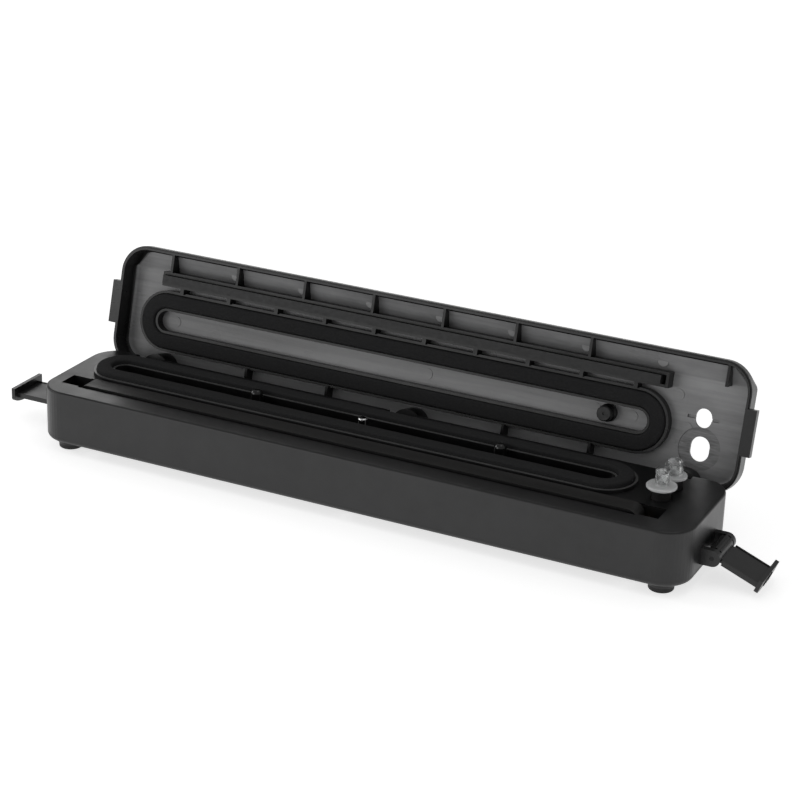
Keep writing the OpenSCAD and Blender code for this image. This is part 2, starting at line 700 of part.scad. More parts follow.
module lid_ribs() {
    wall_f = ring_y - outer_wall_half;
    wall_r = ring_y + outer_wall_half;
    rib_z = rim_z + 3.4;
    for (x = rib_x) block([x - rib_t / 2, lid_front + 1, rib_z],
        [x + rib_t / 2, seal_y - holder_half + 0.2, lid_top]);
    block([holder_r - rib_t, seal_y - holder_half, rib_z], [holder_r, seal_y + holder_half, lid_top]);
    block([case_l / 2 - 14.2 - rib_t / 2, lid_front + 1, rib_z],
        [case_l / 2 - 14.2 + rib_t / 2, crease_y, lid_top]);
    for (x = stub_x) block([x - 1.1, seal_y + holder_half - 0.2, holder_z + 0.6],
        [x + 1.1, wall_f + 0.6, lid_top]);
    for (x = rear_rib_x) block([x - rib_t / 2, wall_r - 0.6, rib_z + 1],
        [x + rib_t / 2, lid_rear - 1, lid_top]);
    // press bar holder
    difference() {
        block([holder_l, seal_y - holder_half, holder_z], [holder_r, seal_y + holder_half, lid_top]);
        block([holder_l + rib_t, seal_y - holder_half + holder_t, holder_z - 1],
            [holder_r - rib_t, seal_y + holder_half - holder_t, ceiling]);
    }
    // walls of the foam ring
    at_ring() {
        track_ring(ring_l + 2 * (fit_gap + wall_t), 2 * outer_wall_half, wall_t, upper_wall, lid_top);
        track_ring(trough_l + 2 * wall_t, trough_w + 2 * wall_t, wall_t, upper_wall, lid_top);
    }
    // ejector marks
    for (x = bay_marks) translate([x, lid_front + 7.6, ceiling - 2.2]) cylinder(r = 2.8, h = 6);
    for (p = mark_at) translate([p[0], p[1], ceiling - 0.25]) cylinder(r = 2.9, h = 1);
}

// Step along the outside of the rim
module rim_step() translate([0, (lid_front + lid_rear) / 2, 0]) difference() {
    slab(case_l + 2, lid_rear - lid_front + 2, corner_r + 1, rim_z - 1, rim_z + 0.8);
    slab(case_l - 1.8, lid_rear - lid_front - 1.8, corner_r - 0.9, rim_z - 2, rim_z + 2);
}

module hinge_arm() {
    block([-knuckle_l / 2, hinge_y - 1.4, hinge_z], [knuckle_l / 2, lid_rear - 0.5, rim_z + 3]);
    translate([0, hinge_y, hinge_z]) rod_x(knuckle_r, knuckle_l);
    // round boss against the back wall
    intersection() {
        block([-knuckle_l, ring_y + outer_wall_half - 0.4, rim_z + 0.6],
            [knuckle_l, lid_rear - 1, lid_top - 1]);
        translate([0, lid_rear - 1, rim_z]) cylinder(r = knuckle_l / 2 + 0.7, h = lid_h);
    }
}

module lid_tab() {
    block([case_l / 2 - 1, latch_y - tab_w / 2, rim_z],
        [case_l / 2 + tab_out, latch_y + tab_w / 2, tab_top]);
}

module lid_holes() {
    // waisted hole for the front button, with a blind slot to each side
    key_x = front_x + 0.5;
    for (s = [-1, 1]) translate([key_x, front_y - 0.6 + s * 0.6, rim_z]) cylinder(r = 4.3, h = 20);
    block([key_x - 8.2, front_y - 1.4, ceiling - 1], [key_x + 8.2, front_y + 0.2, ceiling + 1]);
    // oval hole for the rear button, in a thinned disc
    translate([button_x + 0.2, rear_y + 0.5, 0]) {
        translate([0, 0, ceiling - 1]) cylinder(r = 11, h = 1.3);
        rotate(90) track(12.6, 10, rim_z, lid_top + 1);
    }
}

module lid_shell() color("#4a4a4c") swing_open() difference() {
    union() {
        difference() {
            lid_form(0);
            lid_form(lid_t);
            rim_step();
        }
        intersection() {
            lid_form(0.3);
            lid_ribs();
        }
        for (x = hinge_x) translate([x, 0, 0]) hinge_arm();
        lid_tab();
        mirror([1, 0, 0]) lid_tab();
    }
    lid_holes();
    for (x = hinge_x) translate([x, hinge_y, hinge_z]) rod_x(hinge_pin_r + turn_gap, knuckle_l + 2);
}

module press_bar() color("#5a5a5c") swing_open() {
    block([holder_l + rib_t + 0.2, seal_y - press_w / 2, press_z],
        [holder_r - rib_t - 2, seal_y + press_w / 2, seat_z]);
}

module upper_gasket() color("#1b1b1c") swing_open()
    at_ring() track_ring(ring_l, ring_w, foam_band, upper_foam, seat_z);

module lid_bumper() color("#202021") swing_open()
    translate([holder_r - 30.5, ring_y - 0.3, seat_z]) mirror([0, 0, 1]) rotate_extrude()
        polygon([[0, 0], [4.6, 0], [4.6, 2.4], [3.9, 3], [3.9, 7.4], [3.4, 8], [0.7, 8], [0.5, 7.4],
            [0, 7.4]]);

// ---------- latches ----------

// Latch lying out from its pivot along +X, its inner side up
module latch() {
    arm_top = arm_inner;
    arm_low = arm_inner - latch_t;
    difference() {
        union() {
            rod_y(barrel_r, neck_w);
            for (a = [-135:35:-65]) rotate([0, a, 0])
                block([barrel_r - 0.6, -neck_w / 2, -0.5], [barrel_r + 0.45, neck_w / 2, 0.5]);
            block([0, -neck_w / 2, arm_low], [ear_r + 2, neck_w / 2, arm_top]);
            block([ear_r + 0.8, -latch_w / 2, arm_low], [catch_u + 0.5, latch_w / 2, arm_top]);
            // low borders along the arm's inner face
            for (s = [-1, 1]) block([ear_r + 0.8, s * (latch_w / 2 - 0.5) - 0.5, arm_top - 0.5],
                [catch_u, s * (latch_w / 2 - 0.5) + 0.5, arm_top + 0.3]);
            // end plate: the catch above, a finger lip with round corners below
            translate([catch_u, 0, 0]) rotate([90, 0, 90]) linear_extrude(plate_t) polygon(concat(
                [[-plate_w / 2, arm_top + catch_reach], [-plate_w / 2, arm_low]],
                [for (a = [180:15:360]) [plate_w / 2 * cos(a), arm_low + lip_reach * sin(a)]],
                [[plate_w / 2, arm_top + catch_reach]]));
            for (k = [-1:1]) block([catch_u + plate_t - 0.2, k * 3.4 - 0.5, arm_low - 0.6],
                [catch_u + plate_t + 0.5, k * 3.4 + 0.5, arm_top + 1.6]);
        }
        rod_y(latch_pin_r + turn_gap, latch_w);
    }
}

module latch_right() color("#242426") translate([pivot_x, latch_y, pivot_z])
    rotate([0, droop, 0]) latch();

module latch_left() color("#242426") mirror([1, 0, 0])
    translate([pivot_x, latch_y, pivot_z]) latch();

// ---------- buttons ----------

module button_stem(p) translate([p[0], p[1], 0]) {
    translate([0, 0, collar_z]) cylinder(r = stem_r, h = deck_z + flange_rise - collar_z);
    translate([0, 0, collar_z]) cylinder(r = collar_r, h = collar_t);
    translate([0, 0, rod_z]) cylinder(r = 2, h = collar_z - rod_z + 0.5);
}

module button_stem_front() color("#1c1c1d") button_stem(button_at[0]);
module button_stem_rear() color("#1c1c1d") button_stem(button_at[1]);

module button_lens_front() color("#dfe3e6", 0.5)
    translate([front_x, front_y, deck_z + flange_rise]) {
        post(7.5, 0, flange_t, 0.4, 0.6);
        intersection() {
            post(3.4, flange_t - 0.5, post_top - deck_z - flange_rise, 0, 1.2);
            translate([-3.4, -2.7, 0]) cube([6.8, 5.4, 20]);
        }
    }

module button_lens_rear() color("#dfe3e6", 0.5)
    translate([button_x, rear_y, deck_z + flange_rise]) {
        post(6.7, 0, flange_t, 0.4, 0.6);
        dome_r = 4.5;
        top = post_top - deck_z - flange_rise;
        translate([0, 0, flange_t - 0.5]) cylinder(r = dome_r, h = top - dome_r - flange_t + 0.5);
        translate([0, 0, top - dome_r]) sphere(r = dome_r);
    }

function coil_point(i, h) =
    [coil_r * cos(i * 360 / ring_n), coil_r * sin(i * 360 / ring_n),
        wire_r + 0.05 + (h - 2 * wire_r - 0.1) * i / (coil_turns * ring_n)];

module coil(h) {
    rings = coil_turns * ring_n + 1;
    points = [for (i = [0:rings - 1], j = [0:side_n - 1])
        let (p = coil_point(i, h), a = i * 360 / ring_n, b = j * 360 / side_n)
        p + [wire_r * cos(b) * cos(a), wire_r * cos(b) * sin(a), wire_r * sin(b)]];
    sides = [for (i = [0:rings - 2], j = [0:side_n - 1])
        [i * side_n + j, i * side_n + (j + 1) % side_n,
            (i + 1) * side_n + (j + 1) % side_n, (i + 1) * side_n + j]];
    polyhedron(points, concat(sides, [[for (j = [side_n - 1:-1:0]) j]],
        [[for (j = [0:side_n - 1]) (rings - 1) * side_n + j]]), convexity = 8);
}

module button_spring(p) color("silver")
    translate([p[0], p[1], board_z]) coil(collar_z - board_z);
module button_spring_front() button_spring(button_at[0]);
module button_spring_rear() button_spring(button_at[1]);

case_top();
case_bottom();
rubber_feet();
cover_screws();
lower_gasket();
heater_bar();
heating_strip();
sealing_tape();
heater_terminals();
vacuum_nozzle();
bag_stops();
pump_head();
pump_motor();
pump_cradle();
vacuum_hose();
relief_valve();
valve_hose();
power_board();
transformer();
capacitor();
heat_sink();
control_board();
button_switches();
status_leds();
heater_leads();
power_inlet();
inlet_pins();
hinge_pins();
latch_pins();
lid_shell();
press_bar();
upper_gasket();
lid_bumper();
latch_left();
latch_right();
button_stem_front();
button_lens_front();
button_spring_front();
button_stem_rear();
button_lens_rear();
button_spring_rear();
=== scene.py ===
# Looks for the bag vacuum sealer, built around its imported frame
import bpy
import bmesh
import json
import math
from mathutils import Matrix, Vector, noise


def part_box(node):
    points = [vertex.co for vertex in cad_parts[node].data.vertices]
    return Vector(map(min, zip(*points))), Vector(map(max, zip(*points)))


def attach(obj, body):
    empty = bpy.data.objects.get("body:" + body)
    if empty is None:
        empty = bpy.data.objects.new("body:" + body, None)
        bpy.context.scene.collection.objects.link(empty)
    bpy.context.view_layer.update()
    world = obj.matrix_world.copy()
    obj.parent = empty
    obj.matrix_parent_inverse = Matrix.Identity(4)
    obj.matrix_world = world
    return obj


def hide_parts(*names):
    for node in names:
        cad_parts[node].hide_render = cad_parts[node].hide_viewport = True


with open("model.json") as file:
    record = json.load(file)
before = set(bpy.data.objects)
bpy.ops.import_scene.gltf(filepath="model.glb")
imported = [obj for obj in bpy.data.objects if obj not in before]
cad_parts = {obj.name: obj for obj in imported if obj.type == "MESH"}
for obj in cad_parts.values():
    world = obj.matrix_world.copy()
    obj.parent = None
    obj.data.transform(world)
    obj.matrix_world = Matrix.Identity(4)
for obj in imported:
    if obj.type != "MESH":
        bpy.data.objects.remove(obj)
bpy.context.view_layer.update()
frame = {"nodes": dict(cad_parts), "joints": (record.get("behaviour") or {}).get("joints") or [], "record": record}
nodes = frame["nodes"]
scene = bpy.context.scene
print("frame loaded,", len(nodes), "parts")

# camera and lights

view = {"place": (0.45903, -0.93016, 0.47928), "azimuth": 25.507, "elevation": 22.328,
        "roll": 1.987, "lens": 100.71}


def aimCamera(v):
    az, el, roll = (math.radians(v[k]) for k in ("azimuth", "elevation", "roll"))
    right = Vector((math.cos(az), math.sin(az), 0))
    back = Vector((math.sin(az) * math.cos(el), -math.cos(az) * math.cos(el), math.sin(el)))
    up = back.cross(right)
    r = right * math.cos(roll) + up * math.sin(roll)
    u = up * math.cos(roll) - right * math.sin(roll)
    data = bpy.data.cameras.new("camera")
    data.lens = v["lens"]
    data.sensor_width = 36
    data.clip_start = 0.01
    cam = bpy.data.objects.new("camera", data)
    cam.matrix_world = Matrix.Translation(v["place"]) @ Matrix((r, u, back)).transposed().to_4x4()
    scene.collection.objects.link(cam)
    scene.camera = cam


def addLight(name, place, aim, size, power):
    data = bpy.data.lights.new(name, "AREA")
    data.shape = "RECTANGLE"
    data.size, data.size_y = size
    data.energy = power
    lamp = bpy.data.objects.new(name, data)
    turn = (Vector(aim) - Vector(place)).to_track_quat("-Z", "Y").to_matrix().to_4x4()
    lamp.matrix_world = Matrix.Translation(place) @ turn
    scene.collection.objects.link(lamp)


aimCamera(view)
# each light: where it stands, what it is aimed at, its width and height, its power
lights = {
    "frontLight": ((-0.75, -1.25, 0.32), (0, 0.05, 0.06), (0.9, 0.5), 2.8),
    "leftLight": ((-1.3, -0.3, 0.75), (-0.05, 0, 0.04), (0.35, 0.35), 2.2),
    "backLight": ((-1.0, 1.9, 0.9), (-0.17, 0, 0.03), (1.2, 0.8), 5),
    "topLight": ((0.35, 0.1, 1.5), (0.05, 0, 0.04), (1.2, 0.5), 1.5),
}
for name, (place, aim, size, power) in lights.items():
    addLight(name, place, aim, size, power)
print("camera aimed,", len(lights), "lights set")

studio = {"backdrop": 1.0, "room": 0.36}
world = bpy.data.worlds.new("studio")
scene.world = world
world.use_nodes = True
backdrop = world.node_tree.nodes["Background"]
backdrop.inputs["Color"].default_value = (1, 1, 1, 1)
# a white backdrop to look at, in a room that is dimmer than it
rays = world.node_tree.nodes.new("ShaderNodeLightPath")
level = world.node_tree.nodes.new("ShaderNodeMapRange")
level.inputs["To Min"].default_value = studio["room"]
level.inputs["To Max"].default_value = studio["backdrop"]
world.node_tree.links.new(rays.outputs["Is Camera Ray"], level.inputs["Value"])
world.node_tree.links.new(level.outputs["Result"], backdrop.inputs["Strength"])
scene.view_settings.view_transform = "Standard"

# the lid's own frame: it stands open, and its pieces are made closed and swung

lidHinge = next(j for j in frame["joints"] if j["name"] == "lid_hinge")
hingeAt = Vector(lidHinge["pos_m"])
openAngle = math.radians(lidHinge["range_deg"][1])
swing = (Matrix.Translation(hingeAt) @ Matrix.Rotation(-openAngle, 4, "X")
         @ Matrix.Translation(-hingeAt))


def closedBox(name):
    # a lid part's lowest and highest corners with the lid shut
    back = swing.inverted()
    points = [back @ v.co for v in nodes[name].data.vertices]
    return (Vector([min(p[i] for p in points) for i in range(3)]),
            Vector([max(p[i] for p in points) for i in range(3)]))


# materials


class Finish:
    def __init__(self, name):
        self.mat = bpy.data.materials.new(name)
        self.mat.use_nodes = True
        self.tree = self.mat.node_tree
        self.shader = self.tree.nodes["Principled BSDF"]
        self.coord = self.tree.nodes.new("ShaderNodeTexCoord")
        self.place = self.coord.outputs["Object"]

    def add(self, kind, **inputs):
        node = self.tree.nodes.new(kind)
        for key, value in inputs.items():
            self.plug(node.inputs[key.replace("_", " ")], value)
        return node

    def plug(self, socket, value):
        if isinstance(value, bpy.types.NodeSocket):
            self.tree.links.new(value, socket)
        else:
            socket.default_value = value

    def stretched(self, scale):
        node = self.add("ShaderNodeMapping", Vector=self.place, Scale=scale)
        return node.outputs["Vector"]

    def noise(self, scale, detail=2.0, rough=0.5, where=None):
        node = self.add("ShaderNodeTexNoise", Vector=where or self.place, Scale=scale,
                        Detail=detail, Roughness=rough)
        return node.outputs["Fac"]

    def cells(self, scale):
        return self.add("ShaderNodeTexVoronoi", Vector=self.place, Scale=scale).outputs["Distance"]

    def spread(self, source, low, high, start=0.3, end=0.7):
        node = self.add("ShaderNodeMapRange", Value=source)
        for key, value in (("From Min", start), ("From Max", end), ("To Min", low), ("To Max", high)):
            node.inputs[key].default_value = value
        return node.outputs["Result"]

    def blend(self, factor, a, b):
        node = self.tree.nodes.new("ShaderNodeMix")
        node.data_type = "RGBA"
        self.plug(node.inputs[0], factor)
        self.plug(node.inputs[6], (*a, 1) if isinstance(a, tuple) else a)
        self.plug(node.inputs[7], (*b, 1) if isinstance(b, tuple) else b)
        return node.outputs[2]

    def bump(self, height, strength, depth, after=None):
        node = self.add("ShaderNodeBump", Height=height, Strength=strength, Distance=depth)
        if after:
            self.tree.links.new(after, node.inputs["Normal"])
        return node.outputs["Normal"]

    def done(self, **sockets):
        for key, value in sockets.items():
            self.plug(self.shader.inputs[key.replace("_", " ")], value)
        return self.mat

    def math(self, operation, a, b=0.0):
        node = self.tree.nodes.new("ShaderNodeMath")
        node.operation = operation
        self.plug(node.inputs[0], a)
        self.plug(node.inputs[1], b)
        return node.outputs[0]

    def along(self, vector, direction):
        node = self.tree.nodes.new("ShaderNodeVectorMath")
        node.operation = "DOT_PRODUCT"
        self.plug(node.inputs[0], vector)
        node.inputs[1].default_value = direction
        return node.outputs["Value"]


def shade(color, by):
    return tuple(min(1, c * by) for c in color)


def mouldedPlastic(name, color, rough, grain=1800):
    # moulded plastic: fine grain, broad flow marks and a little unevenness in its gloss
    f = Finish(name)
    broad = f.noise(9, 3, 0.55, f.stretched((0.35, 1.4, 1.0)))
    fine = f.noise(grain, 2, 0.6)
    tint = f.blend(f.spread(broad, 0, 1), shade(color, 0.9), shade(color, 1.1))
    handled = f.noise(60, 4, 0.6)
    gloss = f.spread(handled, rough - 0.05, rough + 0.06)
    wave = f.bump(broad, 0.08, 0.0006)
    return f.done(Base_Color=tint, Roughness=gloss, Specular_IOR_Level=0.5,
                  Normal=f.bump(fine, 0.35, 0.00006, wave))


def casePlastic(name, look, walls):
    # the case: dark, satin and a little cloudy, with the thin wall tops painted paler as a painted highlight
    f = Finish(name)
    broad = f.noise(9, 3, 0.55, f.stretched((0.35, 1.4, 1.0)))
    fine = f.noise(1900, 2, 0.6)
    height = f.along(f.place, (0, 0, 1))
    # painted highlight: from just under the height of the wall tops upward, the case is painted paler, broken up
    # by noise
    wallTopHighlight = f.spread(height, 0, 1, walls - 0.0003, walls - 0.0001)
    wearAndHighlight = f.math("MULTIPLY", wallTopHighlight, f.spread(f.noise(130, 3, 0.6), 0.75, 1))
    patches = f.noise(75, 4, 0.65)
    cloud = f.math("ADD", f.math("MULTIPLY", broad, 0.5), f.math("MULTIPLY", patches, 0.5))
    tint = f.blend(f.spread(cloud, 0, 1, 0.38, 0.62),
                   shade(look["color"], 0.45), shade(look["color"], 1.6))
    gloss = f.spread(f.noise(60, 4, 0.6), look["rough"] - 0.04, look["rough"] + 0.05)
    wave = f.bump(broad, 0.08, 0.0006)
    return f.done(Base_Color=f.blend(wearAndHighlight, tint, look["wallTopHighlight"]), Roughness=gloss,
                  Specular_IOR_Level=0.5, Normal=f.bump(fine, 0.35, 0.00006, wave))


def aroundHole(f, look):
    # distance, in the plane of the shut lid, from the middle of the rear button's hole
    low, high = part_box("button_lens_rear")
    rearward = Vector((0, math.cos(openAngle), -math.sin(openAngle)))
    across = f.math("SUBTRACT", f.along(f.place, (1, 0, 0)), (low.x + high.x) / 2)
    start = hingeAt.dot(rearward) - hingeAt.y + (low.y + high.y) / 2 + look["holeBack"]
    along = f.math("SUBTRACT", f.along(f.place, rearward), start)
    squares = f.math("ADD", f.math("POWER", across, 2.0), f.math("POWER", along, 2.0))
    return f.math("SQRT", squares)


def lidPlastic(name, look):
    # the lid: near black and glossy, its inner face painted paler as a painted reflection that shows the flow of
    # the moulding, and its rim painted paler as a painted highlight
    f = Finish(name)
    facing = Vector((0, -math.sin(openAngle), -math.cos(openAngle)))
    depth = f.math("SUBTRACT", hingeAt.dot(facing), f.along(f.place, facing))
    flat = f.spread(f.along(f.coord.outputs["Normal"], facing), 0, 1, 0.8, 0.85)
    deep = f.spread(depth, 0, 1, look["panelDepth"], look["panelDepth"] + 0.0006)
    # painted highlight: rim tops and tab faces near the rim plane are painted paler
    rim = f.math("MULTIPLY", flat, f.spread(depth, 1, 0, look["rimDepth"], look["rimDepth"] + 0.0005))
    # painted reflection: faces turned to the shut lid's underside, deep inside it, are painted pale
    reflectionPanel = f.math("MULTIPLY", flat, deep)
    flow = f.noise(7, 4, 0.6, f.stretched((0.5, 2.5, 2.5)))
    swirl = f.noise(38, 5, 0.65, f.stretched((0.8, 2, 2)))
    streaks = f.noise(260, 3, 0.7, f.stretched((0.03, 1, 1)))
    mottle = f.math("ADD", f.math("MULTIPLY", flow, 0.5), f.math("MULTIPLY", swirl, 0.25))
    mottle = f.math("ADD", mottle, f.math("MULTIPLY", streaks, 0.25))
    # the painted reflection's colour, mottled by the flow, swirl and streak marks
    paintedReflection = f.blend(f.spread(mottle, 0, 1, 0.35, 0.65),
                   shade(look["reflectionPanel"], 0.55), shade(look["reflectionPanel"], 1.45))
    dark = f.blend(f.spread(flow, 0, 1), shade(look["color"], 0.85), shade(look["color"], 1.2))
    # a disc round the rear button's hole, rubbed across
    disc = f.spread(aroundHole(f, look), 1, 0, look["discRadius"] - 0.0003, look["discRadius"])
    brushed = f.noise(520, 3, 0.7, f.stretched((0.12, 1, 1)))
    scrubbed = f.blend(f.spread(brushed, 0, 1, 0.4, 0.6),
                       shade(look["reflectionPanel"], 0.35), shade(look["reflectionPanel"], 0.95))
    disc = f.math("MULTIPLY", disc, look["discStrength"])
    base = f.blend(reflectionPanel, dark, f.blend(disc, paintedReflection, scrubbed))
    rough = f.spread(swirl, look["rough"] - 0.05, look["rough"] + 0.08)
    fine = f.noise(1700, 2, 0.6)
    wave = f.bump(mottle, 0.05, 0.0006)
    return f.done(Base_Color=f.blend(rim, base, look["rim"]), Roughness=rough,
                  Specular_IOR_Level=0.36, Normal=f.bump(fine, 0.25, 0.00004, wave))


def foamFinish(name, color):
    # closed-cell foam: small open pores in a matt skin
    f = Finish(name)
    pores = f.cells(2600)
    clumps = f.noise(700, 4, 0.7)
    tint = f.blend(f.spread(pores, 0, 1, 0.1, 0.6), shade(color, 0.55), shade(color, 1.35))
    pitted = f.bump(pores, 0.7, 0.00012)
    return f.done(Base_Color=tint, Roughness=f.spread(clumps, 0.82, 0.97),
                  Specular_IOR_Level=0.25, Normal=f.bump(clumps, 0.5, 0.0002, pitted))


def rubberFinish(name, color, rough):
    # rubber and resin: soft and even, with a little dust
    f = Finish(name)
    soft = f.noise(420, 3, 0.6)
    dust = f.noise(35, 5, 0.65)
    tint = f.blend(f.spread(dust, 0, 1, 0.4, 0.75), color, shade(color, 1.35))
    return f.done(Base_Color=tint, Roughness=f.spread(soft, rough - 0.07, rough + 0.07),
                  Specular_IOR_Level=0.4, Normal=f.bump(soft, 0.15, 0.00015))


def tapeFinish(name, color):
    # coated glass cloth: a plain weave under a thin skin
    f = Finish(name)
    warp = f.add("ShaderNodeTexWave", Vector=f.place, Scale=520.0, Distortion=0.4, Detail=1.0)
    weft = f.add("ShaderNodeTexWave", Vector=f.place, Scale=520.0, Distortion=0.4, Detail=1.0)
    weft.bands_direction = "Y"
    cross = f.math("MULTIPLY", warp.outputs["Fac"], weft.outputs["Fac"])
    wearAndHighlight = f.noise(45, 4, 0.6, f.stretched((0.2, 3, 3)))
    tint = f.blend(f.spread(wearAndHighlight, 0, 1), shade(color, 0.8), shade(color, 1.5))
    return f.done(Base_Color=tint, Roughness=f.spread(wearAndHighlight, 0.4, 0.55), Specular_IOR_Level=0.5,
                  Normal=f.bump(cross, 0.3, 0.0001))


def metalFinish(name, color, rough, streak=(1, 1, 1)):
    # metal: fine lines, drawn out along the axes where streak is small
    f = Finish(name)
    lines = f.noise(900, 3, 0.6, f.stretched(streak))
    stain = f.noise(70, 4, 0.6)
    tint = f.blend(f.spread(stain, 0, 1), shade(color, 0.85), color)
    return f.done(Base_Color=tint, Metallic=1.0, Roughness=f.spread(lines, rough * 0.7, rough * 1.35),
                  Normal=f.bump(lines, 0.12, 0.00008))


def boardFinish(name, color, mark):
    # laminate with a grid of plated spots under its mask
    f = Finish(name)
    grid = f.cells(380)
    mix = f.blend(f.spread(grid, 1, 0, 0.12, 0.2), color, mark)
    weave = f.noise(900, 2, 0.5)
    return f.done(Base_Color=mix, Roughness=f.spread(weave, 0.35, 0.5),
                  Normal=f.bump(weave, 0.1, 0.00005))


def clearFinish(name, look, flangeTop):
    # acrylic: a milky flange that catches the light, under a clear crown
    f = Finish(name)
    haze = f.noise(160, 3, 0.6)
    wave = f.noise(420, 2, 0.5)
    height = f.along(f.place, (0, 0, 1))
    clear = f.spread(height, look["flangeClear"], look["crownClear"], flangeTop, flangeTop + 0.0012)
    return f.done(Base_Color=f.blend(haze, shade(look["color"], 0.92), look["color"]),
                  Roughness=f.spread(haze, look["rough"], look["rough"] + 0.04),
                  Transmission_Weight=clear, IOR=1.49, Normal=f.bump(wave, 0.2, 0.0004))


# the last colour here is the painted highlight on the wall tops
caseLook = {"color": (0.0055, 0.0055, 0.0058), "rough": 0.36, "wallTopHighlight": (0.09, 0.09, 0.09)}
# the paler colours here are painted light: a painted reflection for the inner face and a painted highlight for the
# rim
lidLook = {"color": (0.0034, 0.0034, 0.0035), "reflectionPanel": (0.25, 0.25, 0.253),
           "rim": (0.022, 0.022, 0.022), "rough": 0.3,
           "panelDepth": 0.0122, "rimDepth": 0.0062,      # how far in from the hinge line
           "discRadius": 0.011, "discStrength": 0.7, "holeBack": 0.0005}
lensLook = {"color": (0.97, 0.98, 0.98), "rough": 0.02, "flangeClear": 0.45, "crownClear": 0.93,
            "flangeHigh": 0.0015}
wallHigh = 0.0019                                     # of the walls round the lower foam
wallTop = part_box("lower_gasket")[0].z + wallHigh
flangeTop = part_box("button_lens_front")[0].z + lensLook["flangeHigh"]
finishes = {
    "case_plastic": casePlastic("casePlastic", caseLook, wallTop),
    "lid_plastic": lidPlastic("lidPlastic", lidLook),
    "cover_plastic": mouldedPlastic("coverPlastic", (0.005, 0.005, 0.0052), 0.45),
    "latch_plastic": mouldedPlastic("latchPlastic", (0.004, 0.004, 0.0041), 0.34, 1600),
    "button_plastic": mouldedPlastic("buttonPlastic", (0.006, 0.006, 0.0062), 0.35, 1600),
    "clear_acrylic": clearFinish("clearAcrylic", lensLook, flangeTop),
    "foam": foamFinish("gasketFoam", (0.0155, 0.0155, 0.016)),
    "heater_plastic": mouldedPlastic("heaterPlastic", (0.006, 0.006, 0.006), 0.5),
    "heating_wire": metalFinish("heatingWire", (0.35, 0.34, 0.33), 0.4, (0.05, 4, 4)),
    "nonstick_tape": tapeFinish("nonstickTape", (0.008, 0.0076, 0.0072)),
    "terminal_brass": metalFinish("terminalBrass", (0.72, 0.52, 0.25), 0.35),
    "nozzle_metal": metalFinish("nozzleMetal", (0.85, 0.85, 0.85), 0.12, (1, 1, 0.1)),
    "stop_plastic": mouldedPlastic("stopPlastic", (0.006, 0.006, 0.006), 0.14),
    "foot_rubber": rubberFinish("footRubber", (0.006, 0.006, 0.006), 0.6),
    "press_rubber": rubberFinish("pressRubber", (0.012, 0.012, 0.0123), 0.5),
    "bumper_rubber": rubberFinish("bumperRubber", (0.006, 0.006, 0.0062), 0.42),
    "screw_steel": metalFinish("screwSteel", (0.6, 0.6, 0.6), 0.35),
    "pin_steel": metalFinish("pinSteel", (0.62, 0.62, 0.63), 0.25, (0.1, 1, 1)),
    "black_pin": metalFinish("blackPin", (0.03, 0.03, 0.03), 0.35),
    "spring_steel": metalFinish("springSteel", (0.6, 0.6, 0.62), 0.3),
    "pump_plastic": mouldedPlastic("pumpPlastic", (0.06, 0.065, 0.07), 0.5),
    "motor_steel": metalFinish("motorSteel", (0.55, 0.55, 0.57), 0.35, (0.1, 1, 1)),
    "hose_rubber": rubberFinish("hoseRubber", (0.6, 0.6, 0.56), 0.4),
    "power_laminate": boardFinish("powerLaminate", (0.3, 0.2, 0.08), (0.6, 0.55, 0.5)),
    "winding_wrap": rubberFinish("windingWrap", (0.7, 0.5, 0.1), 0.45),
    "capacitor_sleeve": mouldedPlastic("capacitorSleeve", (0.03, 0.04, 0.07), 0.3),
    "sink_aluminium": metalFinish("sinkAluminium", (0.75, 0.76, 0.78), 0.4, (1, 0.05, 1)),
    "control_laminate": boardFinish("controlLaminate", (0.02, 0.16, 0.06), (0.6, 0.6, 0.55)),
    "switch_plastic": mouldedPlastic("switchPlastic", (0.02, 0.02, 0.02), 0.45),
    "led_resin": rubberFinish("ledResin", (0.8, 0.8, 0.76), 0.25),
    "wire_sleeve": rubberFinish("wireSleeve", (0.45, 0.03, 0.02), 0.45),
    "inlet_plastic": mouldedPlastic("inletPlastic", (0.006, 0.006, 0.0062), 0.4),
}
slotOf = {part["node"]: part["material_slot"] for part in frame["record"]["subparts"]}


def coat(obj, mat):
    obj.data.materials.clear()
    obj.data.materials.append(mat)


for name, obj in nodes.items():
    coat(obj, finishes[slotOf[name]])
print("finishes on", len(nodes), "parts")

# pieces modelled here


def addPiece(name, bm, body, slot, cadNode, place, sharp):
    # a finished mesh becomes a piece on its body, in the place of its CAD part
    bmesh.ops.remove_doubles(bm, verts=bm.verts, dist=0.000002)
    bmesh.ops.recalc_face_normals(bm, faces=bm.faces)
    bmesh.ops.transform(bm, matrix=place, verts=bm.verts)
    for face in bm.faces:
        face.smooth = True
    for edge in bm.edges:
        edge.smooth = len(edge.link_faces) < 2 or edge.calc_face_angle() < math.radians(sharp)
    mesh = bpy.data.meshes.new(name)
    bm.to_mesh(mesh)
    bm.free()
    piece = bpy.data.objects.new(name, mesh)
    scene.collection.objects.link(piece)
    coat(piece, finishes[slot])
    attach(piece, body)
    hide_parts(cadNode)
    return piece


# foam rings: a band with rounded shoulders, swept round a racetrack and a little uneven

foam = {"band": 0.008, "shoulder": 0.0011, "steps": 4, "along": 150, "round": 40,
        "uneven": 0.00016, "sideways": 0.54, "waves": 90, "ripples": 279, "foot": 0.0002,
        "inset": 0.0001, "fill": 0.9}


